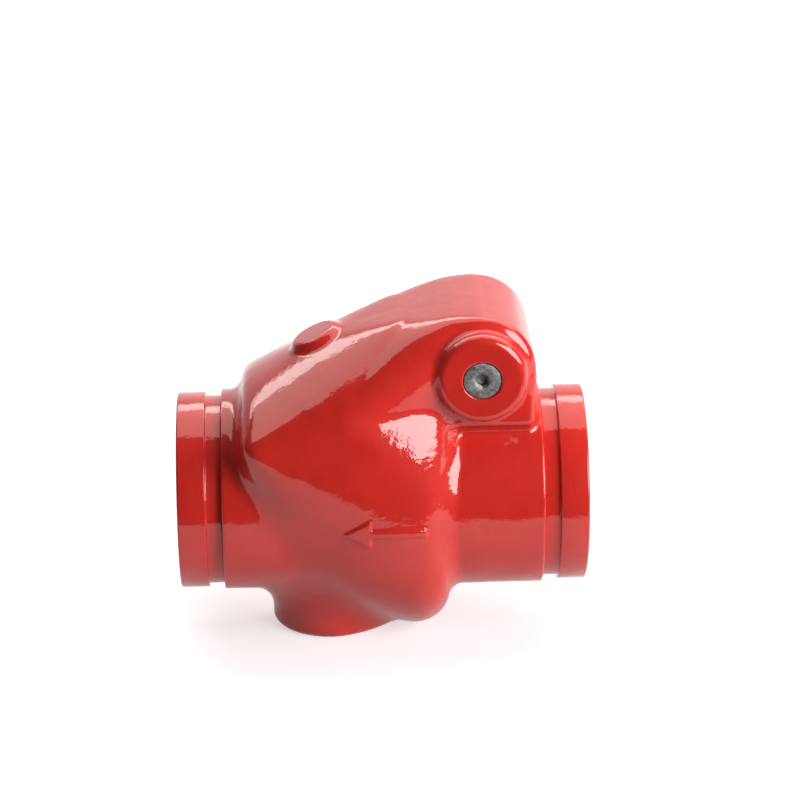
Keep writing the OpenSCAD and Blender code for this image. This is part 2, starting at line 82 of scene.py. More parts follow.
# Balls as x, y, z and radius: the shoulder of the roof, its crest, and all that round the brow
RAIL = (-21, 50, 60, 16)
CREST = (12, 22, 94, 16)
BROW = (
    (56.5, 37, 111.5, 5), (42, 37, 111.5, 5), (19, 40, 102, 5), (5.5, 49, 81.5, 5),
    (42, 37, 60, 5), (5.5, 37, 60, 5), RAIL, (-28, 0, 62.5, 32), (12, 22, 94, 15.3),
)
PIN_X, PIN_Z, OPEN_ANGLE = 56.5, 85.0, 54.0
HOUSING_R, HOUSING_HALF, HOUSING_DROP, HOUSING_EDGE = 31.5, 42.0, 35.0, 5.0
BOSS_R, BOSS_HALF, BOSS_EDGE, POCKET_GAP = 26.0, 55.0, 5.0, 3.0
DRAIN_X, DRAIN_R, GAUGE_X, GAUGE_R = 31.0, 34.0, 35.0, 15.0
CAVITY_R, CAVITY_HALF, PASSAGE_RISE = 25.5, 31.0, 17.0
CLAPPER_R, CLAPPER_GAP, CLAPPER_MID, CLAPPER_BACK = 55.0, 1.5, 26.0, 22.0
CLAPPER_THICK, LUG_OUT, LUG_WIDTH, LUG_R, BUSH_R = 8.0, 29.5, 10.4, 12.5, 8.0
# Bars of the clapper's arms in the middle plane, each as two ends in x and z and a radius
ARM_BARS = (
    ((PIN_X - 3, PIN_Z - 2), (27.0, 54.0), 5.0),
    ((25.5, 56.0), (24.0, 40.0), 4.6),
    ((22.0, 40.0), (23.2, 10.0), 3.0),
)
STOP_R, STOP_LEN, STOP_DROP, STOP_GAP = 8.0, 20.0, 42.0, 0.3
SEAT_X, SEAT_R, SEAT_LEN, SEAT_LIP, SEAT_BORE = 31.5, 53.5, 13.0, 51.0, 48.0
SEAT_SEAL_X, SEAT_SEAL, SEAT_GROOVE_HALF = 38.0, 1.2, 1.6
# Facing, its retainer plate, the gasket, bolt, nut and lock washer, along the waterway
FACING_X, FACING_R, FACING_THICK, FACING_SUNK = 31.4, 52.5, 4.0, 2.6
PLATE_R, PLATE_X = 44.0, 34.9
GASKET_R, HEAD_X, HEAD_END = 11.0, 36.4, 42.8
BOLT_R, BOLT_HOLE_R, HEX_FLATS, HEX_BEVEL, HEX_PAD_R = 5.0, 5.25, 16.0, 0.9, 7.2
NUT_X, NUT_LEN, BOLT_END = 11.8, 8.0, 10.2
LOCK_IN, LOCK_OUT, LOCK_GAP = 5.4, 9.0, 0.02
# Pin and its plugs, bushes, washers, sleeve and spring, along the pin
PIN_R, PIN_HALF = 6.35, 39.0
PLUG_R, PLUG_SHANK_R, PLUG_GAP = 10.6, 8.2, 0.3
PLUG_FACE, PLUG_SEAT, SHANK_END = 54.6, 49.0, 39.6
GLAND_FLOOR, GLAND_R, GLAND_SEAL = 46.77, 9.575, 1.1
WASHER_R, WASHER_GAP, WASHER_THICK, LOOSE_R = 11.0, 0.15, 1.2, 6.55
SLEEVE_R, SLEEVE_GAP = 8.2, 0.15
SPRING_WIRE, SPRING_R, SPRING_HALF, SPRING_TURNS = 1.2, 11.0, 14.5, 7.5


# Materials
def material(name):
    """A new material, with its nodes, links and main shader."""
    mat = bpy.data.materials.new(name)
    mat.use_nodes = True
    tree = mat.node_tree
    return mat, tree.nodes, tree.links, tree.nodes["Principled BSDF"]


def add(nodes, kind, **settings):
    """A new node with inputs or settings given by name."""
    node = nodes.new(kind)
    for key, value in settings.items():
        if key in node.inputs:
            node.inputs[key].default_value = value
        else:
            setattr(node, key, value)
    return node


def ramp(nodes, stops):
    """A colour ramp from (place, colour) stops."""
    node = nodes.new("ShaderNodeValToRGB")
    elements = node.color_ramp.elements
    for element, (place, value) in zip(elements, stops[:2]):
        element.position, element.color = place, value
    for place, value in stops[2:]:
        elements.new(place).color = value
    return node


def red_paint():
    """Glossy red paint over the skin of a casting."""
    mat, nodes, links, shader = material("red_paint")
    place = add(nodes, "ShaderNodeTexCoord")
    patches = add(nodes, "ShaderNodeTexNoise", Scale=28.0, Detail=4.0, Roughness=0.55)
    tint = ramp(nodes, [(0.3, (0.60, 0.018, 0.012, 1)), (0.7, (0.68, 0.024, 0.016, 1))])
    links.new(place.outputs["Object"], patches.inputs["Vector"])
    links.new(patches.outputs["Fac"], tint.inputs["Fac"])
    links.new(tint.outputs["Color"], shader.inputs["Base Color"])
    rough = add(nodes, "ShaderNodeTexNoise", Scale=90.0, Detail=3.0)
    spread = add(nodes, "ShaderNodeMapRange")
    spread.inputs["To Min"].default_value = 0.36
    spread.inputs["To Max"].default_value = 0.5
    links.new(place.outputs["Object"], rough.inputs["Vector"])
    links.new(rough.outputs["Fac"], spread.inputs["Value"])
    links.new(spread.outputs["Result"], shader.inputs["Roughness"])
    shader.inputs["Specular IOR Level"].default_value = 0.12
    shader.inputs["Coat Weight"].default_value = 1.0
    shader.inputs["Coat Roughness"].default_value = 0.05
    shader.inputs["Coat IOR"].default_value = 1.62
    # Orange peel in the paint over the grain of the casting
    peel = add(nodes, "ShaderNodeTexNoise", Scale=420.0, Detail=2.0)
    skin = add(nodes, "ShaderNodeTexNoise", Scale=110.0, Detail=3.0)
    fine = add(nodes, "ShaderNodeBump", Strength=0.10, Distance=0.0006)
    coarse = add(nodes, "ShaderNodeBump", Strength=0.16, Distance=0.0016)
    links.new(place.outputs["Object"], peel.inputs["Vector"])
    links.new(place.outputs["Object"], skin.inputs["Vector"])
    links.new(skin.outputs["Fac"], coarse.inputs["Height"])
    links.new(peel.outputs["Fac"], fine.inputs["Height"])
    links.new(coarse.outputs["Normal"], fine.inputs["Normal"])
    links.new(fine.outputs["Normal"], shader.inputs["Normal"])
    links.new(fine.outputs["Normal"], shader.inputs["Coat Normal"])
    return mat


def metal(name, dark, light, rough_low, rough_high, grain=160.0, bump=0.15, metallic=1.0):
    """A metal with uneven colour, uneven polish and a fine grain."""
    mat, nodes, links, shader = material(name)
    place = add(nodes, "ShaderNodeTexCoord")
    stain = add(nodes, "ShaderNodeTexNoise", Scale=grain, Detail=5.0, Roughness=0.6)
    tint = ramp(nodes, [(0.32, (*dark, 1)), (0.68, (*light, 1))])
    spread = add(nodes, "ShaderNodeMapRange")
    spread.inputs["To Min"].default_value = rough_low
    spread.inputs["To Max"].default_value = rough_high
    fine = add(nodes, "ShaderNodeTexNoise", Scale=grain * 8, Detail=3.0)
    relief = add(nodes, "ShaderNodeBump", Strength=bump, Distance=0.0004)
    links.new(place.outputs["Object"], stain.inputs["Vector"])
    links.new(place.outputs["Object"], fine.inputs["Vector"])
    links.new(stain.outputs["Fac"], tint.inputs["Fac"])
    links.new(tint.outputs["Color"], shader.inputs["Base Color"])
    links.new(stain.outputs["Fac"], spread.inputs["Value"])
    links.new(spread.outputs["Result"], shader.inputs["Roughness"])
    links.new(fine.outputs["Fac"], relief.inputs["Height"])
    links.new(relief.outputs["Normal"], shader.inputs["Normal"])
    shader.inputs["Metallic"].default_value = metallic
    return mat


MATERIALS = {
    "red_casting": red_paint(),
    "seat_brass": metal("seat_brass", (0.45, 0.29, 0.10), (0.62, 0.43, 0.17), 0.22, 0.4),
    "clapper_iron": metal(
        "clapper_iron", (0.035, 0.035, 0.038), (0.09, 0.09, 0.095), 0.45, 0.7, 60.0, 0.4, 0.4),
    "black_rubber": metal(
        "black_rubber", (0.012, 0.012, 0.013), (0.03, 0.03, 0.031), 0.55, 0.75, 90.0, 0.2, 0.0),
    "stainless": metal("stainless", (0.42, 0.42, 0.41), (0.62, 0.61, 0.60), 0.2, 0.38),
    "bush_bronze": metal("bush_bronze", (0.38, 0.22, 0.08), (0.55, 0.34, 0.14), 0.25, 0.42),
    "plug_steel": metal("plug_steel", (0.12, 0.12, 0.12), (0.42, 0.42, 0.41), 0.25, 0.5, 520.0, 0.6),
}


# Distance fields, from which the cast shapes are built
def joined(a, b, r):
    """Union of two fields with a fillet of radius r in the corner."""
    u, v = np.maximum(r - a, 0), np.maximum(r - b, 0)
    return np.maximum(r, np.minimum(a, b)) - np.sqrt(u * u + v * v)


def cut(a, b, r):
    """Field a with b taken away, its new edge rounded to radius r."""
    return -joined(-a, b, r)


def rod(rho, t, r, half, edge):
    """A cylinder with rounded rims, from the distance to its axis and the place along it."""
    a, b = rho - (r - edge), np.abs(t) - (half - edge)
    return np.minimum(np.maximum(a, b), 0) + np.hypot(np.maximum(a, 0), np.maximum(b, 0)) - edge


def block(x, y, z, low, high, edge):
    """A box with rounded edges between two corners."""
    q = [np.abs(p - (l + h) / 2) - ((h - l) / 2 - edge) for p, l, h in zip((x, y, z), low, high)]
    outside = np.sqrt(sum(np.maximum(p, 0) ** 2 for p in q))
    inside = np.minimum(np.maximum(np.maximum(q[0], q[1]), q[2]), 0)
    return outside + inside - edge


def swing(x, z, angle):
    """A place in the middle plane, swung about the pin by an angle in degrees."""
    c, s = math.cos(math.radians(angle)), math.sin(math.radians(angle))
    dx, dz = x - PIN_X, z - PIN_Z
    return PIN_X + dx * c + dz * s, PIN_Z - dx * s + dz * c


def chamber_support(n):
    """How far the chamber reaches in each direction n."""
    reach = []

    def ring(x, y, z, core, section, angle):
        cx, cz = swing(x, z, angle)
        c, s = math.cos(math.radians(angle)), math.sin(math.radians(angle))
        along = n[:, 0] * c - n[:, 2] * s
        across = np.sqrt(np.maximum(1 - along ** 2, 0))
        reach.append(cx * n[:, 0] + y * n[:, 1] + cz * n[:, 2] + core * across + section)

    def ball(x, y, z, r):
        reach.append(x * n[:, 0] + y * n[:, 1] + z * n[:, 2] + r)

    for angle in np.linspace(0, OPEN_ANGLE * 2 / 3, 13):
        ring(RING_X, 0, 0, CHAMBER_HALF - EDGE_R, EDGE_R, angle)
        ring(RING_X, CHAMBER_HALF - BELLY_R, -BELLY_DROP, BELLY_R - EDGE_R, EDGE_R, angle)
    ring(CLAPPER_MID, 0, 0, CLAPPER_R + CLAPPER_GAP + WALL - OPEN_EDGE, OPEN_EDGE, OPEN_ANGLE)
    core = CROWN_R - SHOULDER_EDGE
    shoulder_x = SHOULDER_EDGE - CHAMBER_OUT
    for turn in np.radians(np.linspace(0, CROWN_TURN, 7)):
        crown_z = ROOF_LOW - CROWN_R + core * math.cos(turn)
        ball(shoulder_x, core * math.sin(turn), crown_z, SHOULDER_EDGE)
    ball(shoulder_x, SHOULDER_SIDE, SHOULDER_RISE, SHOULDER_EDGE)
    ring(-ARCH_X, 0, ARCH_Z, ARCH_R - ARCH_EDGE, ARCH_EDGE, 0)
    ring(RING_X, 0, HINGE_RING_Z, HINGE_RING_R - EDGE_R, EDGE_R, 0)
    ball(*CREST)
    ball(*RAIL)
    return np.max(reach, axis=0)


def brow_support(n):
    """How far the flat brow between roof and hinge housing reaches in each direction n."""
    reach = [x * n[:, 0] + y * np.abs(n[:, 1]) + z * n[:, 2] + r for x, y, z, r in BROW]
    return np.max(reach, axis=0)


def hull_field(support, x, y, z):
    """Distance to the smooth hull with the given support, at points given as flat arrays."""
    count, sharp, usual_r, batch = 9000, 4.0, 36.0, 20000
    k = np.arange(count) + 0.5
    height = 1 - 2 * k / count
    turn = math.pi * (1 + 5 ** 0.5) * k
    flat = np.sqrt(1 - height ** 2)
    n = np.stack([flat * np.cos(turn), flat * np.sin(turn), height], 1)
    # Only the near half is built, so directions past the middle plane don't matter
    n = n[n[:, 1] >= -0.05]
    h = support(n)
    n, h = n.astype(np.float32), h.astype(np.float32)
    points = np.stack([x, y, z], 1).astype(np.float32)
    # On a surface of the usual radius the soft maximum is lowered back to the true distance
    spread = math.log(count / (2 * sharp * usual_r))
    out = np.empty(len(points), np.float32)
    for i in range(0, len(points), batch):
        d = points[i:i + batch] @ n.T - h
        top = d.max(1)
        out[i:i + batch] = top + (np.log(np.exp(sharp * (d - top[:, None])).sum(1)) - spread) / sharp
    return out


def cubic_weights(fine, coarse):
    """Weights that carry values on the coarse line of points to the fine one, smoothly."""
    step = coarse[1] - coarse[0]
    place = (fine - coarse[0]) / step
    base = np.clip(np.floor(place).astype(int), 1, len(coarse) - 3)
    t = place - base
    w = np.zeros((len(fine), len(coarse)))
    rows = np.arange(len(fine))
    for shift, value in (
        (-1, (-t ** 3 + 3 * t ** 2 - 3 * t + 1) / 6),
        (0, (3 * t ** 3 - 6 * t ** 2 + 4) / 6),
        (1, (-3 * t ** 3 + 3 * t ** 2 + 3 * t + 1) / 6),
        (2, t ** 3 / 6),
    ):
        w[rows, base + shift] += value
    return w.astype(np.float32)


# Spacing of the grid that the casting's surface is taken from, and of the rough grid of its hulls
STEP = 0.9
HULL_STEP = 3.0


def casting_grid():
    """The lines of a grid over the near half of the casting, and its hull and brow on that grid."""
    margin = 3
    lines = (
        np.arange(-NECK_HALF - margin, NECK_HALF + margin + STEP, STEP),
        np.arange(-2 * STEP, CHAMBER_HALF + 4, STEP),
        np.arange(-AXIS_H - margin, PIN_Z + HOUSING_R + 4, STEP),
    )
    rough_lines = [np.arange(line[0] - 8, line[-1] + 9, HULL_STEP) for line in lines]
    grid = np.meshgrid(*rough_lines, indexing="ij")
    hull = hull_field(chamber_support, *[g.ravel() for g in grid]).reshape(grid[0].shape)
    # The brow's hull is worked out only near it, and counts as far away elsewhere
    far_away, near_x, near_z = 30.0, -60, 25
    brow = np.full(grid[0].shape, far_away, np.float32)
    near = (grid[0] > near_x) & (grid[2] > near_z)
    brow[near] = hull_field(brow_support, *[g[near] for g in grid])
    for axis, (fine, rough) in enumerate(zip(lines, rough_lines)):
        weights = cubic_weights(fine, rough)
        hull, brow = (np.moveaxis(np.tensordot(weights, f, (1, axis)), 0, axis) for f in (hull, brow))
    return lines, hull, brow


def facet_field(x, y, z):
    """Distance past the flat facet on the shoulder below each pin boss."""
    polar, turn = math.radians(FACET_POLAR), math.radians(FACET_TURN)
    return (x * math.sin(polar) * math.cos(turn) + y * math.sin(polar) * math.sin(turn)
            + z * math.cos(polar) - FACET_REACH)


def pocket_field(x, y, z, pin_rho):
    """The space beside each pin boss, where the chamber is cut back to the housing."""
    clear = BOSS_R + POCKET_GAP
    beside = np.minimum(pin_rho - clear, np.maximum(PIN_X - clear - x, PIN_Z - z))
    return np.maximum(beside, HOUSING_HALF - y)


def gauge_boss(x, y, z):
    """The blind boss on the roof, square to its slope."""
    tilt = math.radians(ROOF_TILT)
    dx, dz = x + GAUGE_X, z - GAUGE_Z
    along = dx * math.cos(tilt) + dz * math.sin(tilt)
    up = -dx * math.sin(tilt) + dz * math.cos(tilt)
    return rod(np.hypot(along, y), up + GAUGE_DEPTH, GAUGE_R, GAUGE_DEPTH + GAUGE_REACH, 4.0)


def flow_arrow(x, y, z, body):
    """A raised arrow that points along the flow on each side of the chamber."""
    shaft_mid, shaft_half, shaft_width = 3.5, 16.5, 2.4
    head_back, head_tip, head_rise, head_run, side_y = -12, -27, 0.5, 0.87, 40
    dx, dz = x - ARROW_X, np.abs(z - ARROW_Z)
    shaft = np.maximum(np.abs(dx - shaft_mid) - shaft_half, dz - shaft_width)
    head = np.maximum(dz * head_run - (dx - head_tip) * head_rise, dx - head_back)
    arrow = np.maximum(np.minimum(shaft, head), body - ARROW_HEIGHT)
    return np.maximum(arrow, side_y - y)


def sand_skin(x, y, z):
    """The slight waves of a sand casting, which fade out towards the machined ends."""
    height, fade = 0.09, np.clip((NECK_HALF - 4 - np.abs(x)) / 6, 0, 1)
    wave = (np.sin(x / 5.1 + 1.3 * np.sin(z / 9.0)) * np.sin(y / 6.3 + 0.7) * np.sin(z / 5.7 + 2.1)
            + 0.7 * np.sin((x + z) / 8.3 + 0.4) * np.sin((y - x) / 7.1))
    return height * wave * fade


def casting_outside(x, y, z, axis_rho, pin_rho, hull, brow):
    """The outer surface of the casting. The last number of each call is a fillet's radius."""
    chamber = cut(cut(hull, -facet_field(x, y, z), 12.0), pocket_field(x, y, z, pin_rho), 4.0)
    drum = rod(pin_rho, y, HOUSING_R, HOUSING_HALF, HOUSING_EDGE)
    low = (RING_X - 20, -HOUSING_HALF, PIN_Z - HOUSING_DROP)
    foot = block(x, y, z, low, (PIN_X + HOUSING_R, HOUSING_HALF, PIN_Z), HOUSING_EDGE)
    body = joined(chamber, joined(drum, foot, 2.0), 7.0)
    # The brow lies a little deeper, because the fillet lifts surfaces that nearly coincide
    body = joined(body, brow + 0.2, 2.0)
    body = joined(body, rod(axis_rho, x, NECK_R, NECK_HALF, 0.6), 7.0)
    drain = rod(np.hypot(x + DRAIN_X, y), z, DRAIN_R, AXIS_H, 5.0)
    body = np.maximum(joined(body, np.maximum(drain, z), 16.0), -AXIS_H - z)
    body = joined(body, gauge_boss(x, y, z), 4.0)
    body = joined(body, rod(pin_rho, y, BOSS_R, BOSS_HALF, BOSS_EDGE), 3.5)
    body = joined(body, flow_arrow(x, y, z, body), 0.9)
    return body + sand_skin(x, y, z)


def casting_inside(x, y, z, axis_rho, pin_rho, hull):
    """The hollow of the casting: room, hinge cavity, passage, waterway and seat recess."""
    stop_x, stop_z = swing(CLAPPER_BACK - STOP_GAP, PIN_Z - STOP_DROP, OPEN_ANGLE)
    c, s = math.cos(math.radians(OPEN_ANGLE)), math.sin(math.radians(OPEN_ANGLE))
    dx, dz = x - stop_x, z - stop_z
    stop = rod(np.hypot(y, dx * s + dz * c), dx * c - dz * s + STOP_LEN / 2, STOP_R, STOP_LEN / 2, 0.8)
    shell = np.maximum(hull, facet_field(x, y, z)) + WALL
    room = cut(np.maximum(shell, WALL - pocket_field(x, y, z, pin_rho)), stop, 1.5)
    recess_mid, recess_half, slot_z, seat_mid, fit = 16, 17, 39, 30, 0.03
    recess = rod(axis_rho, x - recess_mid, CLAPPER_R + CLAPPER_GAP, recess_half, 0.5)
    cavity = rod(pin_rho, y, CAVITY_R, CAVITY_HALF, 2.0)
    start = RING_X - 1
    high = (PIN_X, CAVITY_HALF, PIN_Z + PASSAGE_RISE)
    passage = block(x, y, z, (start, -CAVITY_HALF, PIN_Z - CAVITY_R), high, 2.0)
    slot = block(x, y, z, (start, -CAVITY_HALF, slot_z), (SEAT_X, CAVITY_HALF, PIN_Z), 1.0)
    space = joined(room, recess, 1.0)
    space = joined(space, joined(cavity, np.minimum(passage, slot), 1.0), 1.0)
    space = np.minimum(space, axis_rho - BORE_R)
    seat_half = SEAT_X + SEAT_LEN - seat_mid
    return np.minimum(space, rod(axis_rho, x - seat_mid, SEAT_R + fit, seat_half, 0.0))


def pin_bores(y, pin_rho):
    """The bore of the hinge pin, widened on each side for the plug's thread and its head."""
    fit, bore_end = 0.05, 50
    bores = np.maximum(pin_rho - PIN_R - fit, y - bore_end)
    bores = np.minimum(bores, np.maximum(pin_rho - PLUG_SHANK_R - fit, SHANK_END - y))
    return np.minimum(bores, np.maximum(pin_rho - PLUG_R - PLUG_GAP, GLAND_FLOOR - y))


def mirrored_surface(field, lines, step):
    """Points and quads of a field given on the near half of a grid, mirrored over the middle plane."""
    # The first rows of the half lie past the middle plane
    start = int(np.argmin(np.abs(lines[1])))
    whole = np.concatenate([field[:, :start:-1, :], field[:, start:, :]], 1)
    grid = openvdb.FloatGrid(4.0)
    grid.copyFromArray(whole.astype(np.float32))
    points, quads = grid.convertToQuads(0.0)
    far_row = (field.shape[1] - start - 1) * step
    origin = np.array([lines[0][0], -far_row, lines[2][0] + AXIS_H])
    return points * step + origin, quads[:, ::-1]


def mesh_object(name, points, faces, smooth=True):
    """An object from points in metres and faces that all have the same number of corners."""
    mesh = bpy.data.meshes.new(name)
    mesh.vertices.add(len(points))
    mesh.vertices.foreach_set("co", np.asarray(points, np.float32).ravel())
    faces = np.asarray(faces)
    size = faces.shape[1]
    mesh.loops.add(faces.size)
    mesh.loops.foreach_set("vertex_index", faces.ravel().astype(np.int32))
    mesh.polygons.add(len(faces))
    mesh.polygons.foreach_set("loop_start", np.arange(0, faces.size, size, dtype=np.int32))
    mesh.update(calc_edges=True)
    mesh.validate()
    if smooth:
        mesh.shade_smooth()
    obj = bpy.data.objects.new(name, mesh)
    bpy.context.scene.collection.objects.link(obj)
    return obj


def finish_piece(obj, body, slot, *nodes):
    """Gives a piece its body and material, and hides the solids that it replaces."""
    obj.data.materials.clear()
    obj.data.materials.append(MATERIALS[slot])
    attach(obj, body)
    if nodes:
        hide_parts(*nodes)


def outward(obj, merge=False, fill=False):
    """Turns every face outwards, once doubled corners are merged or open ends closed."""
    bm = bmesh.new()
    bm.from_mesh(obj.data)
    if merge:
        bmesh.ops.remove_doubles(bm, verts=bm.verts, dist=1e-6)
    if fill:
        bmesh.ops.holes_fill(bm, edges=[e for e in bm.edges if e.is_boundary])
    bmesh.ops.recalc_face_normals(bm, faces=bm.faces)
    bm.to_mesh(obj.data)
    bm.free()
    return obj


def wrapped(rows, size, closed=False):
    """Faces between neighbouring rows of points, each row a loop of the given size."""
    i = np.arange(rows if closed else rows - 1)[:, None] * size
    k = (i + size) % (rows * size)
    a = np.arange(size)[None, :]
    b = (a + 1) % size
    return np.stack([i + a, i + b, k + b, k + a], 2).reshape(-1, 4)


def casting():
    """The cast casing between its grooves."""
    lines, hull, brow = casting_grid()
    x, y, z = np.meshgrid(*[line.astype(np.float32) for line in lines], indexing="ij", sparse=True)
    y = np.abs(y)
    axis_rho, pin_rho = np.sqrt(y * y + z * z), np.hypot(x - PIN_X, z - PIN_Z)
    body = casting_outside(x, y, z, axis_rho, pin_rho, hull, brow)
    body = np.maximum(body, -casting_inside(x, y, z, axis_rho, pin_rho, hull))
    body = cut(body, pin_bores(y, pin_rho), 0.5)
    body = np.maximum(body, np.abs(x) - NECK_HALF).astype(np.float32)
    points, quads = mirrored_surface(body, lines, STEP)
    # Ends lie flat against the groove walls
    flat = np.abs(np.abs(points[:, 0]) - NECK_HALF) < STEP * 0.45
    points[flat, 0] = np.sign(points[flat, 0]) * NECK_HALF
    return mesh_object("casting", points * MM, quads)


def turned(name, profile, segments=192):
    """A closed solid of revolution about the waterway from (radius, x) pairs."""
    angle = np.linspace(0, 2 * np.pi, segments, endpoint=False)
    r = np.array([p[0] for p in profile])
    t = np.array([p[1] for p in profile])
    x = np.broadcast_to(t, (segments, len(profile)))
    y = np.cos(angle)[:, None] * r
    z = np.sin(angle)[:, None] * r + AXIS_H
    points = np.stack([x, y, z], 2).reshape(-1, 3)
    faces = wrapped(segments, len(profile), closed=True)
    return outward(mesh_object(name, points * MM, faces, smooth=False))


def soften(profile, radius, steps=4):
    """Rounds each corner of a closed outline, by at most a certain share of its two sides."""
    out = []
    count, share = len(profile), 0.45
    for i in range(count):
        p, a, b = (np.array(profile[k % count], float) for k in (i, i - 1, i + 1))
        la, lb = np.linalg.norm(a - p), np.linalg.norm(b - p)
        cut_len = min(radius, la * share, lb * share)
        start, end = p + (a - p) / la * cut_len, p + (b - p) / lb * cut_len
        for t in np.linspace(0, 1, steps):
            out.append(tuple((1 - t) ** 2 * start + 2 * t * (1 - t) * p + t ** 2 * end))
    return out


def grooved_end(name, side):
    """The machined groove and sealing band of one end, side 1 at the inlet and -1 at the outlet."""
    lap, mouth = 0.1, 0.6
    outline = [
        (BORE_R, NECK_HALF - lap), (GROOVE_R, NECK_HALF - lap), (GROOVE_R, NECK_HALF + GROOVE),
        (END_R, NECK_HALF + GROOVE), (END_R, HALF_LEN - CHAMFER), (END_R - CHAMFER, HALF_LEN),
        (BORE_R + mouth, HALF_LEN), (BORE_R, HALF_LEN - mouth),
    ]
    obj = turned(name, [(r, side * x) for r, x in soften(outline, 0.7)])
    obj.data.shade_smooth()
    return obj


def sharpen(obj, angle=35):
    """Smooth shading, with edges kept sharp where faces turn by more than the angle."""
    obj.data.shade_smooth()
    obj.data.set_sharp_from_angle(angle=math.radians(angle))
    return obj


def lathe(name, axis, stations, closed=True, count=96):
    """A solid about the pin or the waterway from (radius, place) stations.

    A radius may be a function of the angle.
    """
    angle = np.linspace(0, 2 * np.pi, count, endpoint=False)
    rings = []
    for r, t in stations:
        rho = r(angle) if callable(r) else np.full(count, float(r))
        a, b, along = rho * np.cos(angle), rho * np.sin(angle), np.full(count, float(t))
        place = (PIN_X + a, along, PIN_Z + b) if axis == "pin" else (along, a, b)
        rings.append(np.stack(place, 1))
    points = np.concatenate(rings)
    points[:, 2] += AXIS_H
    faces = wrapped(len(rings), count, closed)
    return sharpen(outward(mesh_object(name, points * MM, faces), merge=True))


def tube(name, axis, outer, inner, start, end, bevel=0.3, count=96):
    """A ring with bevelled corners."""
    profile = [(inner, start), (outer, start), (outer, end), (inner, end)]
    return lathe(name, axis, soften(profile, bevel, 3), count=count)


def ring_seal(name, axis, mid, place, section):
    """A seal ring of round section."""
    around = np.linspace(0, 2 * np.pi, 20, endpoint=False)
    stations = [(mid + section * math.cos(a), place + section * math.sin(a)) for a in around]
    return lathe(name, axis, stations)


def hexagon(flats, limit=99.0):
    """Radius of a hexagon at each angle, kept below a limit so that its corners are chamfered."""
    def radius(angle):
        part = (angle + np.pi / 6) % (np.pi / 3) - np.pi / 6
        return np.minimum(flats / 2 / np.cos(part), limit)
    return radius


def thread(outer, place, pitch=1.5, depth=0.45):
    """Radius of a screw thread at each angle, at one place along it."""
    slope, crest = 2.6, 0.3

    def radius(angle):
        turn = (place / pitch - angle / (2 * np.pi)) % 1.0
        return outer - depth * np.clip(np.abs(turn - 0.5) * slope - crest, 0, 1)
    return radius


def threaded(outer, start, end, step=0.25):
    """Stations of a thread between two places, with tapered first turns."""
    places = np.arange(min(start, end), max(start, end) + 1e-6, step)
    if end < start:
        places = places[::-1]
    return [(thread(outer, t), t) for t in places]


def plug(name, side):
    """A threaded plug with a hexagon socket, side -1 on the near side and 1 on the far side."""
    socket, mouth, depth = 6.0, 4.5, 4.5
    neck_r, socket_end = PLUG_SHANK_R - 0.25, PLUG_FACE - depth
    stations = [
        (0, SHANK_END), (PLUG_SHANK_R - 0.8, SHANK_END), (PLUG_SHANK_R, SHANK_END + 0.8),
        (PLUG_SHANK_R, PLUG_SEAT - 2.6), (neck_r, PLUG_SEAT - 2.3), (neck_r, PLUG_SEAT),
        (PLUG_R - 0.2, PLUG_SEAT), (PLUG_R, PLUG_SEAT + 0.2), (PLUG_R, PLUG_FACE - 0.45),
        (PLUG_R - 0.12, PLUG_FACE - 0.15), (PLUG_R - 0.45, PLUG_FACE),
        (mouth + 0.25, PLUG_FACE), (mouth, PLUG_FACE - 0.1),
        (hexagon(socket), PLUG_FACE - (mouth - socket / 2)), (hexagon(socket), socket_end),
        (hexagon(socket - 0.5), socket_end - 0.1), (0, socket_end - 0.1),
    ]
    return lathe(name, "pin", [(r, side * t) for r, t in stations], closed=False)


def chamfered_hex(start, end):
    """Stations of a hexagon whose corners are turned off towards the end."""
    step = 1 if end > start else -1
    corner, face_r = HEX_FLATS / math.sqrt(3), HEX_FLATS / 2 - 0.3
    out = [(hexagon(HEX_FLATS), start)]
    for drop in (1.0, 0.75, 0.5, 0.25, 0.0):
        limit = face_r + (corner - face_r) * drop
        out.append((hexagon(HEX_FLATS, limit), end - step * HEX_BEVEL * drop))
    return out


def bolt():
    """The bolt that holds the facing, with its head towards the inlet."""
    collar, taper, lead, run_out = 7.6, 0.4, 0.8, 2.0
    stations = [(0, BOLT_END), (BOLT_R - lead, BOLT_END)]
    stations.append((thread(BOLT_R - taper, BOLT_END + taper), BOLT_END + taper))
    stations += threaded(BOLT_R, BOLT_END + lead, CLAPPER_BACK + run_out)
    stations += [(BOLT_R, CLAPPER_BACK + run_out + 0.6), (BOLT_R, HEAD_X), (collar, HEAD_X)]
    stations.append((collar, HEAD_X + 0.25))
    stations += chamfered_hex(HEAD_X + 0.25, HEAD_END) + [(HEX_PAD_R, HEAD_END), (0, HEAD_END)]
    return lathe("clapper_bolt_detail", "waterway", stations, closed=False, count=72)


def nut():
    """The nut on the back of the clapper, its corners turned off at both ends."""
    nut_end, mouth, mouth_r, bore = NUT_X + NUT_LEN, 0.5, 5.5, BOLT_R + 0.02
    middle = (NUT_X + nut_end) / 2
    outside = chamfered_hex(middle, NUT_X)[::-1] + chamfered_hex(middle, nut_end)[1:]
    stations = [(mouth_r, NUT_X), (HEX_PAD_R, NUT_X)] + outside
    stations += [(HEX_PAD_R, nut_end), (mouth_r, nut_end)]
    stations += [(bore, nut_end - mouth), (bore, NUT_X + mouth)]
    return lathe("clapper_nut_detail", "waterway", stations, count=72)


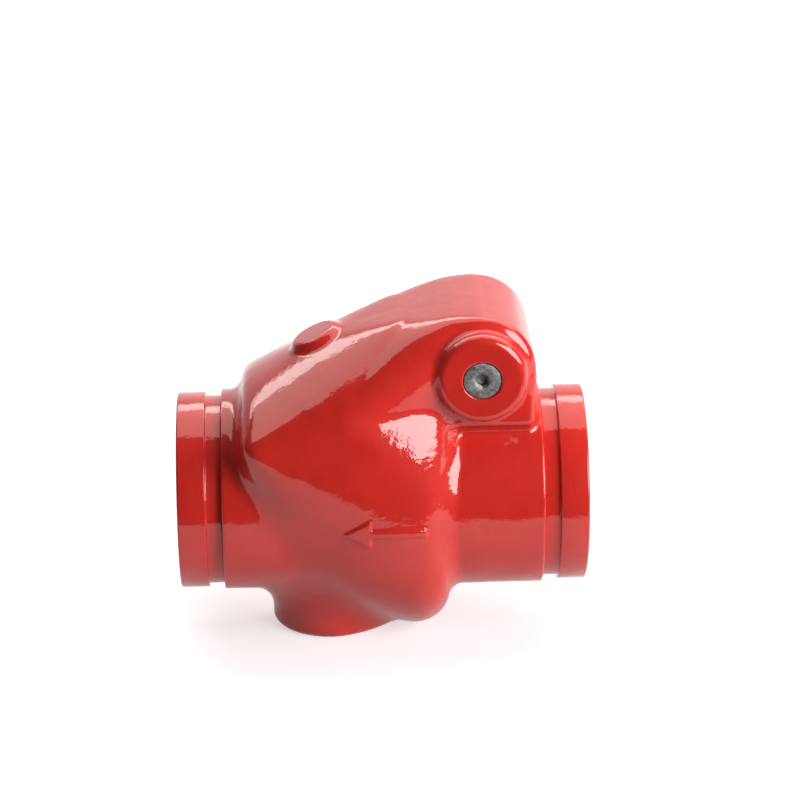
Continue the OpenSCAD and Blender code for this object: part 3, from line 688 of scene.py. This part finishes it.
def lock_washer():
    """A split spring washer, nearly flat, with a slanted gap."""
    start, end = NUT_X + NUT_LEN + LOCK_GAP, CLAPPER_BACK - LOCK_GAP
    count, first, gap, lean = 90, 0.06, 0.26, 0.09
    outline = [(LOCK_IN, start), (LOCK_OUT, start), (LOCK_OUT, end), (LOCK_IN, end)]
    corners = soften(outline, 0.25, 3)
    points = []
    for k in range(count + 1):
        for r, t in corners:
            slant = lean * (t - start) / (end - start)
            angle = first + (2 * math.pi - gap) * k / count + slant
            points.append((t, r * math.cos(angle), r * math.sin(angle) + AXIS_H))
    faces = wrapped(count + 1, len(corners))
    return sharpen(outward(mesh_object("lock_washer_detail", np.array(points) * MM, faces), fill=True))


def spring_path():
    """The middle line of the spring: a leg under the roof, the coil and a leg on the clapper's back."""
    per_turn = 40
    steps = int(SPRING_TURNS * per_turn)
    leg_x = CLAPPER_BACK - SPRING_WIRE - 0.1
    leg_start = np.array([PIN_X - 30, -SPRING_HALF, PIN_Z + 15])
    leg_end = np.array([PIN_X - 18, -SPRING_HALF, PIN_Z + 13.5])
    first = np.array([PIN_X, -SPRING_HALF, PIN_Z + SPRING_R])
    path = [leg_start + (leg_end - leg_start) * t for t in np.linspace(0, 1, 10)]
    # The leg bows a little on its way to the coil
    for t in np.linspace(0.08, 0.95, 10):
        bow = 3 * t * (1 - t) * 0.6
        path.append(leg_end + (first - leg_end) * t + np.array([0, 0, bow]))
    for i in range(steps + 1):
        angle = math.pi / 2 - 2 * math.pi * i / per_turn
        x, z = PIN_X + SPRING_R * math.cos(angle), PIN_Z + SPRING_R * math.sin(angle)
        path.append(np.array([x, -SPRING_HALF + 2 * SPRING_HALF * i / steps, z]))
    last = path[-1]
    knee = np.array([leg_x, SPRING_HALF, PIN_Z - 28])
    middle = np.array([PIN_X - 30, SPRING_HALF, PIN_Z - 18])
    foot = np.array([leg_x, SPRING_HALF, PIN_Z - 42])
    for t in np.linspace(0.06, 1, 16):
        path.append((1 - t) ** 2 * last + 2 * t * (1 - t) * middle + t * t * knee)
    for t in np.linspace(0.1, 1, 10):
        path.append(knee + (foot - knee) * t)
    path = np.array(path)
    shortest = 0.05
    keep = [0] + [i for i in range(1, len(path)) if np.linalg.norm(path[i] - path[i - 1]) > shortest]
    return path[keep]


def spring():
    """The closing spring, drawn as one wire along its middle line."""
    path = spring_path()
    ahead = np.gradient(path, axis=0)
    ahead /= np.linalg.norm(ahead, axis=1)[:, None]
    out = np.cross(ahead, [0.0, 1.0, 0.0])
    out /= np.linalg.norm(out, axis=1)[:, None]
    up = np.cross(out, ahead)
    sides, end_scale, half = 14, 0.7, SPRING_HALF
    turn = np.linspace(0, 2 * np.pi, sides, endpoint=False)
    scale = np.ones(len(path))
    scale[0] = scale[-1] = end_scale
    around = out[:, None] * np.cos(turn)[None, :, None] + up[:, None] * np.sin(turn)[None, :, None]
    points = (path[:, None] + SPRING_WIRE * scale[:, None, None] * around).reshape(-1, 3)
    points[:, 2] += AXIS_H
    faces = wrapped(len(path), sides)
    obj = outward(mesh_object("closing_spring_wire", points * MM, faces), fill=True)
    sharpen(obj, 50)
    obj.data.materials.append(MATERIALS["stainless"])
    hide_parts("closing_spring")
    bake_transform(obj)


def bar(x, z, a, b, r):
    """Distance in the middle plane to a rounded bar between two points."""
    px, pz, dx, dz = x - a[0], z - a[1], b[0] - a[0], b[1] - a[1]
    t = np.clip((px * dx + pz * dz) / (dx * dx + dz * dz), 0, 1)
    return np.hypot(px - t * dx, pz - t * dz) - r


def slab(flat, y, low, high, edge):
    """A flat shape given thickness between two places along Y, with rounded edges."""
    a, b = flat + edge, np.abs(y - (low + high) / 2) - ((high - low) / 2 - edge)
    return np.minimum(np.maximum(a, b), 0) + np.hypot(np.maximum(a, 0), np.maximum(b, 0)) - edge


def clapper():
    """The cast clapper: its disc, the lugs about the pin and the arms between them."""
    step = 0.7
    back, margin, lug_margin = 14, 3, 16
    lines = (
        np.arange(back, PIN_X + lug_margin, step),
        np.arange(-2 * step, CLAPPER_R + margin, step),
        np.arange(-CLAPPER_R - margin, PIN_Z + lug_margin, step),
    )
    x, y, z = np.meshgrid(*lines, indexing="ij", sparse=True)
    y = np.abs(y)
    rho, pin_rho = np.sqrt(y * y + z * z), np.hypot(x - PIN_X, z - PIN_Z)
    front = CLAPPER_BACK + CLAPPER_THICK
    body = rod(rho, x - (CLAPPER_BACK + front) / 2, CLAPPER_R, CLAPPER_THICK / 2, 1.2)
    pad_r, pad_rise = 13.0, 0.6
    body = joined(body, rod(rho, x - CLAPPER_BACK, pad_r, pad_rise, 0.5), 1.0)
    lug_in = LUG_OUT - LUG_WIDTH
    lug = slab(pin_rho - LUG_R, y, lug_in, LUG_OUT, 0.8)
    arm = np.minimum.reduce([bar(x, z, *ends) for ends in ARM_BARS])
    arm = slab(arm, y, lug_in, LUG_OUT, 1.2)
    body = joined(body, joined(lug, arm, 2.5), 2.0)
    # The pocket of the facing, the hole of the bolt and the holes of the bushes
    body = cut(body, np.maximum(rho - FACING_R - 0.2, front - FACING_SUNK - x), 0.3)
    body = cut(body, rho - BOLT_HOLE_R, 0.3)
    body = cut(body, pin_rho - BUSH_R, 0.3)
    points, quads = mirrored_surface(body, lines, step)
    return mesh_object("clapper_casting", points * MM, quads)


def seat_ring():
    """The seat ring, with its raised lip and the groove of its seal."""
    step, end = 1.5, SEAT_X + SEAT_LEN
    low, high = SEAT_SEAL_X - SEAT_GROOVE_HALF, SEAT_SEAL_X + SEAT_GROOVE_HALF
    floor_r = SEAT_R - 2 * SEAT_SEAL
    outline = [
        (SEAT_BORE, SEAT_X + step), (SEAT_LIP - 2, SEAT_X), (SEAT_LIP, SEAT_X),
        (SEAT_LIP + step, SEAT_X + step), (SEAT_R, SEAT_X + step),
        (SEAT_R, low), (floor_r, low), (floor_r, high), (SEAT_R, high),
        (SEAT_R, end), (SEAT_BORE, end),
    ]
    return lathe("seat_ring_turned", "waterway", soften(outline, 0.35, 3), count=160)


def facing():
    """The rubber facing of the clapper, with the mark that the seat presses into it."""
    back, dent = FACING_X - FACING_THICK, FACING_X - 0.25
    dent_in, dent_out, slope = 49.4, 50.6, 1.0
    outline = [
        (BOLT_HOLE_R, back), (FACING_R, back), (FACING_R, FACING_X), (dent_out + slope, FACING_X),
        (dent_out, dent), (dent_in, dent), (dent_in - slope, FACING_X), (BOLT_HOLE_R, FACING_X),
    ]
    return lathe("facing_disc", "waterway", soften(outline, 0.3, 3), count=160)


def hinge_pin():
    """The hinge pin, with a small centre mark and a bevel at each end."""
    bevel, mark_r, mark_edge, mark_depth = 0.9, 1.2, 2.0, 1.2
    end = [
        (0, PIN_HALF - mark_depth), (mark_r, PIN_HALF - bevel), (mark_edge, PIN_HALF),
        (PIN_R - bevel, PIN_HALF), (PIN_R, PIN_HALF - bevel),
    ]
    return lathe("hinge_pin_turned", "pin", end + [(r, -t) for r, t in end[::-1]], closed=False)


# Pieces
finish_piece(casting(), "casing_body", "red_casting", "body_casting")
for name, side in (("inlet_groove", 1), ("outlet_groove", -1)):
    finish_piece(grooved_end(name, side), "casing_body", "red_casting")

for side, place in ((-1, "near"), (1, "far")):
    finish_piece(plug("plug_" + place, side), "casing_body", "plug_steel", "pin_plug_" + place)
    seal_mid = (GLAND_FLOOR + PLUG_SEAT) / 2
    seal = ring_seal("plug_seal_ring_" + place, "pin", GLAND_R, side * seal_mid, GLAND_SEAL)
    finish_piece(seal, "casing_body", "black_rubber", "plug_seal_" + place)
    inner = side * (LUG_OUT + WASHER_GAP)
    outer = side * (LUG_OUT + WASHER_GAP + WASHER_THICK)
    washer = tube("thrust_ring_" + place, "pin", WASHER_R, LOOSE_R, inner, outer, 0.2)
    finish_piece(washer, "casing_body", "bush_bronze", "thrust_washer_" + place)
    inner = side * (LUG_OUT - LUG_WIDTH)
    bush = tube("bush_ring_" + place, "pin", BUSH_R, PIN_R + 0.05, inner, side * LUG_OUT, 0.4)
    finish_piece(bush, "clapper_body", "bush_bronze", "bush_" + place)

finish_piece(seat_ring(), "casing_body", "seat_brass", "seat_ring")
seal = ring_seal("seat_seal_ring", "waterway", SEAT_R - SEAT_SEAL, SEAT_SEAL_X, SEAT_SEAL)
finish_piece(seal, "casing_body", "black_rubber", "seat_seal")
finish_piece(clapper(), "clapper_body", "clapper_iron", "clapper")
finish_piece(facing(), "clapper_body", "black_rubber", "clapper_facing")
plate = tube("retainer_plate", "waterway", PLATE_R, BOLT_HOLE_R, FACING_X, PLATE_X, 0.8, 160)
finish_piece(plate, "clapper_body", "stainless", "facing_retainer")
gasket = tube("bolt_gasket", "waterway", GASKET_R, BOLT_HOLE_R, PLATE_X, HEAD_X, 0.4)
finish_piece(gasket, "clapper_body", "black_rubber", "bolt_seal_washer")
finish_piece(bolt(), "clapper_body", "stainless", "clapper_bolt")
finish_piece(nut(), "clapper_body", "stainless", "clapper_nut")
finish_piece(lock_washer(), "clapper_body", "stainless", "lock_washer")
finish_piece(hinge_pin(), "casing_body", "stainless", "hinge_pin")
sleeve_end = LUG_OUT - LUG_WIDTH - SLEEVE_GAP
sleeve = tube("spring_sleeve_turned", "pin", SLEEVE_R, LOOSE_R, sleeve_end, -sleeve_end, 0.5)
finish_piece(sleeve, "casing_body", "stainless", "spring_sleeve")
spring()

# The solids underneath wear the same materials as the pieces over them
slots = {part["node"]: part["material_slot"] for part in frame["record"]["subparts"]}
for name, node in frame["nodes"].items():
    node.data.materials.clear()
    node.data.materials.append(MATERIALS[slots[name]])

# Stage, lights and camera, in metres
MIRRORED_FLOOR, DIM_WORLD = 0.42, 0.06
scene = bpy.context.scene
scene.view_settings.view_transform = "Standard"


def stage():
    """A pale floor that curves up into a wall behind the object."""
    # The floor ends close in front of the object, so the paint mirrors only a narrow part of it
    near_edge, half_width, bend_start, bend_r, wall_top = -0.29, 6.0, 3.0, 1.0, 5.0
    grey = 0.62
    outline = [(near_edge, 0.0), (0.0, 0.0), (bend_start, 0.0)]
    for a in np.radians(np.arange(10, 91, 10)):
        outline.append((bend_start + bend_r * math.sin(a), bend_r - bend_r * math.cos(a)))
    outline.append((bend_start + bend_r, wall_top))
    points, faces = [], []
    for y, z in outline:
        points += [(-half_width, y, z), (half_width, y, z)]
    for i in range(0, len(points) - 2, 2):
        faces.append((i, i + 1, i + 3, i + 2))
    floor = mesh_object("studio_floor", points, faces)
    mat, nodes, links, shader = material("studio_floor")
    shader.inputs["Base Color"].default_value = (grey, grey, grey, 1)
    shader.inputs["Roughness"].default_value = 0.9
    shader.inputs["Specular IOR Level"].default_value = 0.1
    # The camera sees the floor as white and glossy paint sees it dimmer. Its glow lights nothing
    # else, and it rises with the distance from the object, so painted shade darkens the floor around
    # it.
    path = nodes.new("ShaderNodeLightPath")
    mirrored = add(nodes, "ShaderNodeMath", operation="MAXIMUM")
    dimmed = add(nodes, "ShaderNodeMath", operation="MULTIPLY")
    dimmed.inputs[1].default_value = MIRRORED_FLOOR
    seen = add(nodes, "ShaderNodeMath", operation="MAXIMUM")
    level = add(nodes, "ShaderNodeMath", operation="MULTIPLY")
    place = add(nodes, "ShaderNodeTexCoord")
    away = add(nodes, "ShaderNodeVectorMath", operation="LENGTH")
    # Painted shade: the glow is weaker near the object, which makes the floor darker around it
    base = add(nodes, "ShaderNodeMapRange")
    for socket, value in (("From Min", 0.4), ("From Max", 1.6), ("To Min", 0.6), ("To Max", 1.0)):
        base.inputs[socket].default_value = value
    glow = nodes.new("ShaderNodeEmission")
    both = nodes.new("ShaderNodeAddShader")
    links.new(path.outputs["Is Glossy Ray"], mirrored.inputs[0])
    links.new(path.outputs["Is Transmission Ray"], mirrored.inputs[1])
    links.new(mirrored.outputs[0], dimmed.inputs[0])
    links.new(path.outputs["Is Camera Ray"], seen.inputs[0])
    links.new(dimmed.outputs[0], seen.inputs[1])
    links.new(seen.outputs[0], level.inputs[0])
    links.new(place.outputs["Object"], away.inputs[0])
    links.new(away.outputs["Value"], base.inputs["Value"])
    links.new(base.outputs["Result"], level.inputs[1])
    links.new(level.outputs[0], glow.inputs["Strength"])
    links.new(shader.outputs[0], both.inputs[0])
    links.new(glow.outputs[0], both.inputs[1])
    links.new(both.outputs[0], nodes["Material Output"].inputs["Surface"])
    floor.data.materials.append(mat)


def lamp(name, size, place, target, radiance, colour=(1, 1, 1)):
    """A rectangular soft light of the given brightness."""
    data = bpy.data.lights.new(name, "AREA")
    data.shape = "RECTANGLE"
    data.size, data.size_y = size
    data.energy = radiance * math.pi * size[0] * size[1]
    data.color = colour
    obj = bpy.data.objects.new(name, data)
    scene.collection.objects.link(obj)
    obj.location = place
    obj.rotation_euler = (Vector(target) - Vector(place)).to_track_quat("-Z", "Y").to_euler()
    return obj


def world():
    """White for the camera and a dim grey for everything else."""
    wall = bpy.data.worlds.new("studio")
    scene.world = wall
    wall.use_nodes = True
    back = wall.node_tree.nodes["Background"]
    back.inputs["Color"].default_value = (1, 1, 1, 1)
    nodes, links = wall.node_tree.nodes, wall.node_tree.links
    path = nodes.new("ShaderNodeLightPath")
    level = add(nodes, "ShaderNodeMapRange")
    level.inputs["To Min"].default_value = DIM_WORLD
    links.new(path.outputs["Is Camera Ray"], level.inputs["Value"])
    links.new(level.outputs["Result"], back.inputs["Strength"])


def camera():
    """A long lens above the near side, turned until the object stands where the photo has it."""
    elevation, azimuth, roll, distance = 23.0, 1.3, 0.8, 1.85
    frame_size, focal_length, sensor = 800, 3147.0, 36.0
    e, az, ro = map(math.radians, (elevation, azimuth, roll))
    centre = Vector((0, 0, AXIS_H * MM))
    towards = Vector((-math.sin(az) * math.cos(e), -math.cos(az) * math.cos(e), math.sin(e)))
    place = centre + distance * towards
    ahead = (centre - place).normalized()
    right = ahead.cross(Vector((0, 0, 1))).normalized()
    up = right.cross(ahead)
    right, up = right * math.cos(ro) - up * math.sin(ro), right * math.sin(ro) + up * math.cos(ro)
    # The pixel at which the middle of the waterway stands, from the middle of the frame
    centre_right, centre_down = 381.3 - frame_size / 2, 484.8 - frame_size / 2
    view = ahead - right * (centre_right / focal_length) + up * (centre_down / focal_length)
    view.normalize()
    right = (right - view * right.dot(view)).normalized()
    up = right.cross(view)
    data = bpy.data.cameras.new("camera")
    data.sensor_width = sensor
    data.lens = focal_length / frame_size * sensor
    data.clip_end = 50
    obj = bpy.data.objects.new("camera", data)
    scene.collection.objects.link(obj)
    obj.matrix_world = Matrix((
        (right.x, up.x, -view.x, place.x), (right.y, up.y, -view.y, place.y),
        (right.z, up.z, -view.z, place.z), (0, 0, 0, 1),
    ))
    scene.camera = obj


stage()
world()
camera()
lamp("overhead", (3.0, 1.7), (0.35, 0.75, 1.3), (0.35, 0.75, 0), 1.62, (1, 0.97, 0.9))
lamp("front_window", (1.25, 1.05), (1.24, -0.92, 0.70), (0, 0, 0.1), 8.4)
lamp("wall_light", (5.0, 1.2), (0, 2.2, 2.2), (0, 2.8, 0), 3.0)
